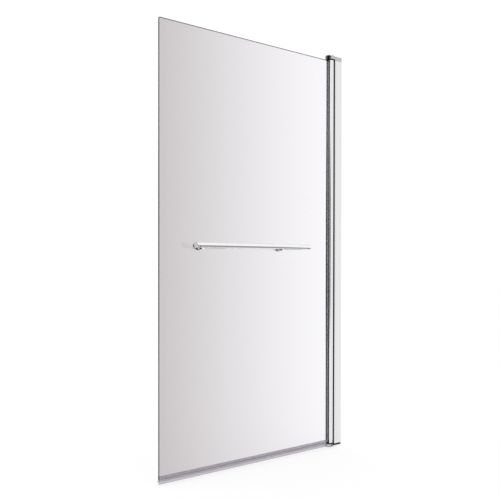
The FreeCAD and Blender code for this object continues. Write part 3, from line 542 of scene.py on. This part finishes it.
def soften_edges(shape, width, steps, wanted=None):
    """A small round or chamfer on each sharp edge, or on the wanted ones of them."""
    sharp = [
        edge
        for edge in shape.edges
        if len(edge.link_faces) == 2
        and edge.calc_face_angle() > math.radians(SHARP)
        and (wanted is None or wanted(edge))
    ]
    bmesh.ops.bevel(
        shape, geom=sharp, offset=width, segments=steps, profile=0.5, affect="EDGES", clamp_overlap=True
    )


def rounded_outline(points, radius, steps=4):
    """A closed outline with each corner turned into a small arc."""
    result = []
    count = len(points)
    for index in range(count):
        before = Vector(points[index - 1])
        here = Vector(points[index])
        after = Vector(points[(index + 1) % count])
        back, onward = before - here, after - here
        turn = back.angle(onward)
        cut = min(radius / math.tan(turn / 2), back.length * 0.45, onward.length * 0.45)
        start, end = here + back.normalized() * cut, here + onward.normalized() * cut
        for step in range(steps + 1):
            t = step / steps
            result.append(start.lerp(here, t).lerp(here.lerp(end, t), t))
    return [tuple(point) for point in result]


def arc(centre, radius, start, end, steps):
    angles = [math.radians(start + (end - start) * step / steps) for step in range(steps + 1)]
    return [(centre[0] + radius * math.cos(a), centre[1] + radius * math.sin(a)) for a in angles]


def lathe(shape, profile, centre, axis, steps=48):
    """Adds a turned solid. Profile is (radius, distance along axis) from end to end."""
    across = Vector((0, 0, 1)) if abs(axis.z) < 0.5 else Vector((1, 0, 0))
    beside = axis.cross(across)
    rings = []
    for radius, distance in profile:
        middle = centre + axis * distance
        if radius == 0:
            rings.append([shape.verts.new(middle)])
            continue
        turns = [2 * math.pi * step / steps for step in range(steps)]
        rays = [across * math.cos(turn) + beside * math.sin(turn) for turn in turns]
        rings.append([shape.verts.new(middle + ray * radius) for ray in rays])
    for low, high in zip(rings, rings[1:]):
        for step in range(steps):
            after = (step + 1) % steps
            if len(low) == 1:
                shape.faces.new((low[0], high[step], high[after]))
            elif len(high) == 1:
                shape.faces.new((low[step], low[after], high[0]))
            else:
                shape.faces.new((low[step], low[after], high[after], high[step]))


# ---------------------------------------------------------------- Geometry Nodes
def geometry_tree(name, inputs):
    tree = bpy.data.node_groups.new(name, "GeometryNodeTree")
    tree.interface.new_socket("Geometry", in_out="INPUT", socket_type="NodeSocketGeometry")
    for label, kind, value in inputs:
        socket = tree.interface.new_socket(label, in_out="INPUT", socket_type=kind)
        if value is not None:
            socket.default_value = value
    tree.interface.new_socket("Geometry", in_out="OUTPUT", socket_type="NodeSocketGeometry")
    entry = tree.nodes.new("NodeGroupInput")
    leave = tree.nodes.new("NodeGroupOutput")
    return tree, entry, leave


def finish_tree(tree, entry, leave, geometry):
    realize = tree.nodes.new("GeometryNodeRealizeInstances")
    paint = tree.nodes.new("GeometryNodeSetMaterial")
    tree.links.new(geometry, realize.inputs["Geometry"])
    tree.links.new(realize.outputs["Geometry"], paint.inputs["Geometry"])
    tree.links.new(entry.outputs["Material"], paint.inputs["Material"])
    tree.links.new(paint.outputs["Geometry"], leave.inputs["Geometry"])


def row_tree():
    """Repeats the piece it is given in a straight row."""
    tree, entry, leave = geometry_tree(
        "row_of_pieces",
        [
            ("Count", "NodeSocketInt", 3),
            ("First Place", "NodeSocketVector", (0.0, 0.0, 0.0)),
            ("Step", "NodeSocketVector", (0.0, 0.0, 0.1)),
            ("Material", "NodeSocketMaterial", None),
        ],
    )
    line = tree.nodes.new("GeometryNodeMeshLine")
    line.mode = "OFFSET"
    tree.links.new(entry.outputs["Count"], line.inputs["Count"])
    tree.links.new(entry.outputs["First Place"], line.inputs["Start Location"])
    tree.links.new(entry.outputs["Step"], line.inputs["Offset"])
    place = tree.nodes.new("GeometryNodeInstanceOnPoints")
    tree.links.new(line.outputs["Mesh"], place.inputs["Points"])
    tree.links.new(entry.outputs["Geometry"], place.inputs["Instance"])
    finish_tree(tree, entry, leave, place.outputs["Instances"])
    return tree


def sweep_tree():
    """Draws the section it is given along a straight line, as an extrusion is made."""
    tree, entry, leave = geometry_tree(
        "drawn_section",
        [
            ("Start", "NodeSocketVector", (0.0, 0.0, 0.0)),
            ("End", "NodeSocketVector", (0.0, 0.0, 1.0)),
            ("Material", "NodeSocketMaterial", None),
        ],
    )
    line = tree.nodes.new("GeometryNodeCurvePrimitiveLine")
    tree.links.new(entry.outputs["Start"], line.inputs["Start"])
    tree.links.new(entry.outputs["End"], line.inputs["End"])
    section = tree.nodes.new("GeometryNodeMeshToCurve")
    tree.links.new(entry.outputs["Geometry"], section.inputs["Mesh"])
    sweep = tree.nodes.new("GeometryNodeCurveToMesh")
    tree.links.new(line.outputs["Curve"], sweep.inputs["Curve"])
    tree.links.new(section.outputs["Curve"], sweep.inputs["Profile Curve"])
    sweep.inputs["Fill Caps"].default_value = True
    finish_tree(tree, entry, leave, sweep.outputs["Mesh"])
    return tree


def run_tree(tree, mesh, values, angle=35.0):
    """The plain mesh that the tree makes of a starting mesh."""
    source = bpy.data.objects.new("making", mesh)
    bpy.context.scene.collection.objects.link(source)
    modifier = source.modifiers.new("making", "NODES")
    modifier.node_group = tree
    sockets = {item.name: item.identifier for item in tree.interface.items_tree if item.in_out == "INPUT"}
    for label, value in values.items():
        modifier[sockets[label]] = value
    graph = bpy.context.evaluated_depsgraph_get()
    made = bpy.data.meshes.new_from_object(source.evaluated_get(graph), depsgraph=graph)
    source.modifiers.remove(modifier)
    bpy.data.objects.remove(source)
    made.materials.clear()
    shape = bmesh.new()
    shape.from_mesh(made)
    bmesh.ops.remove_doubles(shape, verts=shape.verts, dist=WELD)
    bmesh.ops.recalc_face_normals(shape, faces=shape.faces)
    shape.to_mesh(made)
    shape.free()
    smooth_by_angle(made, angle)
    return flat_sides_kept(made)


ROW = row_tree()
SWEEP = sweep_tree()


def section_mesh(outlines):
    """A loop of edges on each outline, for the sweep."""
    mesh = bpy.data.meshes.new("section")
    corners, edges = [], []
    for outline in outlines:
        first, count = len(corners), len(outline)
        corners += [(x, y, 0.0) for x, y in outline]
        edges += [(first + i, first + (i + 1) % count) for i in range(count)]
    mesh.from_pydata(corners, edges, [])
    return mesh


def drawn_upright(outlines, low, high, material):
    """The section in (x, y), drawn from low to high."""
    values = {"Start": (0.0, 0.0, low), "End": (0.0, 0.0, high), "Material": material}
    return run_tree(SWEEP, section_mesh(outlines), values)


def drawn_lengthwise(outline, start, end, material):
    """The section in (y, z), drawn from start to end along X. The sweep lays it half a turn over."""
    values = {"Start": (start, 0.0, 0.0), "End": (end, 0.0, 0.0), "Material": material}
    return run_tree(SWEEP, section_mesh([[(-y, -z) for y, z in outline]]), values)


# ---------------------------------------------------------------- wall side
def make_wall_channel():
    def build(shape):
        copy_of_node(shape, "wall_channel")
        soften_edges(shape, METAL_EDGE, 2)

    mesh = mesh_from("wall_channel_extrusion", build)
    finishes = [CHANNEL_ALUMINIUM]
    new_piece("wall_channel_extrusion", mesh, "wall_fixing", ["wall_channel"], finishes)


def make_jamb():
    def build(shape):
        copy_of_node(shape, "hinge_jamb")
        soften_edges(shape, METAL_EDGE, 2, lambda edge: edge.calc_length() > 0.5)

    mesh = mesh_from("hinge_jamb_extrusion", build)
    new_piece("hinge_jamb_extrusion", mesh, "jamb", ["hinge_jamb"], [JAMB_ALUMINIUM])


def make_covers():
    """Press-on covers with a softly crowned front, in a row up the channel."""
    low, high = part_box("clamp_screw_covers")
    radius = (high.x - low.x) / 2
    depth = high.y - low.y
    inside = [(0, depth - COVER_WALL), (radius - COVER_WALL, depth - COVER_WALL), (radius - COVER_WALL, 0)]
    crown = [(radius - inward, depth - down) for inward, down in COVER_CROWN]
    profile = [*inside, (radius, 0), *crown, (0, depth)]
    cover = mesh_from("cover", lambda shape: lathe(shape, profile, Vector((0, 0, 0)), Vector((0, 1, 0))))
    first = ((low.x + high.x) / 2, low.y, low.z + radius)
    step = (0.0, 0.0, CLAMP_SPACING)
    values = {"Count": CLAMP_COUNT, "First Place": first, "Step": step, "Material": CHROME}
    mesh = run_tree(ROW, cover, values)
    new_piece("clamp_covers", mesh, "jamb", ["clamp_screw_covers"], [CHROME])


# ---------------------------------------------------------------- swinging panel
def make_post():
    """Round outside with a flat nose, where the glazing slot is."""
    low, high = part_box("pivot_post")
    nose_angle = math.degrees(math.acos((PIVOT_X - NOSE_X) / POST_RADIUS))
    round_side = arc((PIVOT_X, 0.0), POST_RADIUS, nose_angle - 180.0, 180.0 - nose_angle, 80)
    slot = [
        (NOSE_X, SLOT_HALF),
        (SLOT_FLOOR_X, SLOT_HALF),
        (SLOT_FLOOR_X, -SLOT_HALF),
        (NOSE_X, -SLOT_HALF),
    ]
    mesh = drawn_upright([round_side + slot], low.z, high.z, POST_ALUMINIUM)
    new_piece("pivot_post_extrusion", mesh, "panel", ["pivot_post"], [POST_ALUMINIUM])


def make_pane():
    """The pane with its ground arrises. Its rims have a material of their own."""
    def build(shape):
        copy_of_node(shape, "glass_panel")
        soften_edges(shape, ARRIS, 1)
        for vert in shape.verts:
            vert.co.y *= 1.0 - PANE_PLAY / GLASS_HALF
        for face in shape.faces:
            face.material_index = 0 if abs(face.normal.y) > 0.99 else 1
        clear = [face for face in shape.faces if face.material_index == 0]
        # painted shade: a band of the faces along the rims takes the darker rim material
        band = bmesh.ops.inset_region(shape, faces=clear, thickness=SHADED_RIM_BAND, use_even_offset=True)
        for face in band["faces"]:
            face.material_index = 1
        for vert in shape.verts:
            if abs(vert.co.z - PANE_Z[0] - ARRIS - SHADED_RIM_BAND) < 0.05 * MM:
                vert.co.z += SHADED_FOOT_BAND - SHADED_RIM_BAND

    mesh = mesh_from("glass_pane", build, 20.0)
    new_piece("glass_pane", mesh, "panel", ["glass_panel"], [GLASS, GLASS_EDGE])


def make_nose_strips():
    """The strips pressed into the post's nose, with a stem each and rounded fronts."""
    low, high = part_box("nose_strips")
    near, far, middle = high.y - STRIP_WIDTH, high.y, high.y - STRIP_WIDTH / 2
    back, across = STRIP_CORNER
    section = [
        (high.x, middle - STRIP_STEM / 2),
        (high.x, middle + STRIP_STEM / 2),
        (NOSE_X, middle + STRIP_STEM / 2),
        (NOSE_X, far),
        (low.x + back, far),
        (low.x, far - across),
        (low.x, near + across),
        (low.x + back, near),
        (NOSE_X, near),
        (NOSE_X, middle - STRIP_STEM / 2),
    ]
    outlines = [rounded_outline([(x, side * y) for x, y in section], STRIP_ROUND) for side in (-1, 1)]
    mesh = drawn_upright(outlines, low.z, high.z, NOSE_RUBBER)
    new_piece("nose_strips_rounded", mesh, "panel", ["nose_strips"], [NOSE_RUBBER])


def make_seal():
    """The clear seal on the lower edge of the glass, with rounded edges, a lip and a drip fin."""
    low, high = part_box("bottom_seal")
    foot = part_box("glass_panel")[0].z
    leg = GLASS_HALF + SEAL_LEG
    base = foot - SEAL_FLOOR
    outline = [
        (-leg, high.z),
        (-leg, base),
        (-SEAL_LIP / 2, base),
        (-SEAL_LIP / 2, low.z),
        (SEAL_LIP / 2, low.z),
        (SEAL_LIP / 2, base),
        (leg - SEAL_FIN, base),
        (leg + SEAL_FIN_REACH - SEAL_FIN, base - SEAL_FIN_DROP),
        (leg + SEAL_FIN_REACH, base - SEAL_FIN_DROP),
        (leg, base),
        (leg, high.z),
        (GLASS_HALF, high.z),
        (GLASS_HALF, foot),
        (-GLASS_HALF, foot),
        (-GLASS_HALF, high.z),
    ]
    outline = rounded_outline(outline, SEAL_ROUND)
    mesh = drawn_lengthwise(outline, low.x, high.x, SEAL_PVC)
    for polygon in mesh.polygons:
        in_lip = polygon.center.z < base - 0.5 * MM and abs(polygon.center.y) < SEAL_LIP
        polygon.material_index = 1 if in_lip else 0
    new_piece("bottom_seal_profile", mesh, "panel", ["bottom_seal"], [SEAL_PVC, SHADED_LIP_PVC])


# ---------------------------------------------------------------- nodes that keep their shape
NODE_FINISHES = {
    "wall_channel": CHANNEL_ALUMINIUM,
    "hinge_jamb": JAMB_ALUMINIUM,
    "pivot_post": POST_ALUMINIUM,
    "hinge_seal_strips": RUBBER,
    "clamp_screws": STEEL,
    "clamp_screw_covers": CHROME,
    "top_cap": SHADED_CAP_CHROME,
    "top_pivot_bracket": STEEL,
    "top_pivot_pin": STEEL,
    "top_bracket_screws": STEEL,
    "bottom_cap": SHADED_CAP_CHROME,
    "bottom_pivot_pin": STEEL,
    "bottom_cap_screws": STEEL,
    "top_bush": NYLON,
    "bottom_bush": NYLON,
    "top_thrust_washer": BLACK_NYLON,
    "bottom_thrust_washer": BLACK_NYLON,
    "glass_panel": GLASS,
    "nose_strips": NOSE_RUBBER,
    "glass_bond": SILICONE,
    "bottom_seal": SEAL_PVC,
    "rail_tube": CHROME,
    "rail_end_cap_free": CHROME,
    "rail_end_cap_wall": CHROME,
    "rail_grub_screws": STEEL,
    "rail_posts": CHROME,
    "rail_saddle_screws": STEEL,
    "rail_rosettes": CHROME,
    "rail_washers_dry": WASHER_PVC,
    "rail_hole_bushes": NYLON,
    "rail_washers_bath": WASHER_PVC,
    "rail_studs": STEEL,
    "rail_cap_nuts": CHROME,
}


def finish_nodes():
    for name, material in NODE_FINISHES.items():
        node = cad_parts[name]
        if not node.material_slots:
            node.data.materials.append(material)
        for slot in node.material_slots:
            slot.material = material


# ---------------------------------------------------------------- studio
def is_seen_ray(tree):
    """1 for the rays that show the backdrop: straight, in metal and through glass."""
    path = tree.nodes.new("ShaderNodeLightPath")
    seen = math_node(tree, "MAXIMUM", path.outputs["Is Camera Ray"], path.outputs["Is Glossy Ray"])
    return math_node(tree, "MAXIMUM", seen, path.outputs["Is Transmission Ray"])


def make_world():
    world = bpy.data.worlds.new("studio")
    bpy.context.scene.world = world
    world.use_nodes = True
    tree = world.node_tree
    background = tree.nodes["Background"]
    background.inputs["Color"].default_value = (1.0, 1.0, 1.0, 1.0)
    strength = map_range(tree, is_seen_ray(tree), 0.0, 1.0, WORLD_LIGHT, SEEN_LIGHT)
    tree.links.new(strength, background.inputs["Strength"])


def make_floor():
    mesh = bpy.data.meshes.new("floor")
    signs = ((-1, -1), (1, -1), (1, 1), (-1, 1))
    corners = [(x * FLOOR_HALF, y * FLOOR_HALF, solid_box[0].z) for x, y in signs]
    mesh.from_pydata(corners, [], [(0, 1, 2, 3)])
    floor = bpy.data.objects.new("floor", mesh)
    bpy.context.scene.collection.objects.link(floor)
    material = bpy.data.materials.new("pale_floor")
    material.use_nodes = True
    tree = material.node_tree
    shader = tree.nodes["Principled BSDF"]
    shader.inputs["Base Color"].default_value = (FLOOR_TONE, FLOOR_TONE, FLOOR_TONE, 1.0)
    shader.inputs["Roughness"].default_value = 0.9
    shader.inputs["Specular IOR Level"].default_value = 0.0
    shader.inputs["Emission Color"].default_value = (1.0, 1.0, 1.0, 1.0)
    glow = math_node(tree, "MULTIPLY", is_seen_ray(tree), SEEN_LIGHT - FLOOR_TONE * WORLD_LIGHT)
    tree.links.new(glow, shader.inputs["Emission Strength"])
    mesh.materials.append(material)
    return floor


def dark_sheet(name, rows, tones):
    """A dark sheet, from rows of corners: a studio screen, or painted shade close to the object. Only the
    metal shows it, the glass doesn't.
    """
    width = len(rows[0])
    corners = [corner for row in rows for corner in row]
    faces = []
    for r in range(len(rows) - 1):
        for c in range(width - 1):
            first = r * width + c
            faces.append((first, first + 1, first + width + 1, first + width))
    mesh = bpy.data.meshes.new(name)
    mesh.from_pydata(corners, [], faces)
    layer = mesh.attributes.new("tone", "FLOAT", "POINT")
    layer.data.foreach_set("value", [tone for row in tones for tone in row])
    sheet = bpy.data.objects.new(name, mesh)
    bpy.context.scene.collection.objects.link(sheet)
    sheet.visible_camera = False
    sheet.visible_diffuse = False
    sheet.visible_transmission = False
    sheet.visible_shadow = False
    material = bpy.data.materials.new(name)
    material.use_nodes = True
    tree = material.node_tree
    shader = tree.nodes["Principled BSDF"]
    shader.inputs["Base Color"].default_value = (0.0, 0.0, 0.0, 1.0)
    shader.inputs["Specular IOR Level"].default_value = 0.0
    shader.inputs["Roughness"].default_value = 1.0
    shader.inputs["Emission Strength"].default_value = 1.0
    tone = tree.nodes.new("ShaderNodeAttribute")
    tone.attribute_name = "tone"
    tree.links.new(tone.outputs["Fac"], shader.inputs["Emission Color"])
    path = tree.nodes.new("ShaderNodeLightPath")
    clear = tree.nodes.new("ShaderNodeBsdfTransparent")
    blend = tree.nodes.new("ShaderNodeMixShader")
    tree.links.new(path.outputs["Is Singular Ray"], blend.inputs["Fac"])
    tree.links.new(shader.outputs["BSDF"], blend.inputs[1])
    tree.links.new(clear.outputs["BSDF"], blend.inputs[2])
    tree.links.new(blend.outputs["Shader"], tree.nodes["Material Output"].inputs["Surface"])
    mesh.materials.append(material)


def places(start, end, soft_start, soft_end, steps, grey):
    """Places from start to end with their tones. A soft end fades from the grey to white."""
    first, last = start + soft_start / 2, end - soft_end / 2
    marks = [(first + (last - first) * step / steps, grey) for step in range(steps + 1)]
    if soft_start:
        marks.insert(0, (start - soft_start / 2, SEEN_LIGHT))
    if soft_end:
        marks.append((end + soft_end / 2, SEEN_LIGHT))
    return marks


def make_painted_shade_sheet(name, xs, ys, z, grey, soft=0.0):
    """A level dark sheet at that height, painted shade seen only in the metal's reflections. Its far side
    and its ends may be soft.
    """
    across = places(xs[0], xs[1], soft / 2, soft / 2, 1, grey)
    along = places(ys[0], ys[1], soft, 0.0, 1, grey)
    rows = [[(x, y, z) for x, _ in across] for y, _ in along]
    tones = [[max(a, b) for _, a in across] for _, b in along]
    dark_sheet(name, rows, tones)


def make_dark_screen(name, sides, zs, soft_sides=(0.0, 0.0), soft_ends=(0.0, 0.0)):
    """A curved screen round the hinge, between two directions from +X towards +Y."""
    around = places(*sides, *soft_sides, 24, SCREEN_GREY)
    upward = places(*zs, *soft_ends, 1, SCREEN_GREY)
    turns = [math.radians(angle) for angle, _ in around]
    reach = SCREEN_DISTANCE
    points = [(PIVOT_X + reach * math.cos(turn), reach * math.sin(turn)) for turn in turns]
    rows = [[(x, y, z) for x, y in points] for z, _ in upward]
    tones = [[max(a, b) for _, a in around] for _, b in upward]
    dark_sheet(name, rows, tones)


def keep_off(lamp, thing):
    """The lamp doesn't light that thing."""
    receivers = bpy.data.collections.new("unlit_by_" + lamp.name)
    receivers.objects.link(thing)
    lamp.light_linking.receiver_collection = receivers
    receivers.collection_objects[0].light_linking.link_state = "EXCLUDE"


def make_lamp(name, place, target, width, height, power):
    data = bpy.data.lights.new(name, "AREA")
    data.shape = "RECTANGLE"
    data.size = width
    data.size_y = height
    data.energy = power
    lamp = bpy.data.objects.new(name, data)
    lamp.location = place
    direction = Vector(target) - Vector(place)
    lamp.rotation_euler = direction.to_track_quat("-Z", "Y").to_euler()
    bpy.context.scene.collection.objects.link(lamp)
    return lamp


# ---------------------------------------------------------------- the picture
set_camera()
finish_nodes()
make_wall_channel()
make_jamb()
make_covers()
make_post()
make_pane()
make_nose_strips()
make_seal()
make_world()
floor = make_floor()
key = make_lamp("soft_key", (-0.6, -2.6, 2.4), (-0.4, 0.0, 0.0), 2.4, 1.2, 30.0)
keep_off(key, floor)
soft_ends = (SOFT_FOOT, SOFT_HEAD)
tall, low = (SCREEN_FOOT, TALL), (SCREEN_FOOT, LOW)
make_dark_screen("dark_screen_behind", (43.0, 124.0), tall, (SOFT_SIDE, 0.0), (SOFT_FOOT, 0.0))
make_dark_screen("dark_screen_left", (138.0, 222.0), tall, (0.0, 0.0), (SOFT_FOOT, 0.0))
make_dark_screen("low_screen_left", (126.0, 138.0), low, (SOFT_SIDE, 0.0), soft_ends)
make_dark_screen("low_screen_front", (222.0, 256.0), low, (0.0, 20.0), soft_ends)
make_dark_screen("high_screen_front", (222.0, 255.0), (1.57, 1.80))
# painted reflection: a grey sheet under the rail darkens the rail's lower side
make_painted_shade_sheet("painted_reflection_under_rail", (-0.70, -0.06), (-0.45, -0.05), CAMERA_Z, 0.36, soft=0.3)
# painted shadow: a dark sheet on the floor at the foot, seen only in the bottom cap
make_painted_shade_sheet("painted_shadow_at_foot", (-0.045, 0.060), (-0.048, -0.030), solid_box[0].z + 0.5 * MM, 0.01)
# painted shade: dark sheets close under the rail mounts, seen only in their undersides
for number, mount_x in enumerate(MOUNT_XS, 1):
    place = (mount_x - 0.022, mount_x + 0.10)
    make_painted_shade_sheet("painted_shade_under_mount_%d" % number, place, (-0.030, -0.0035), MOUNT_Z - 14.5 * MM, 0.0)

bpy.context.scene.view_settings.view_transform = "Standard"
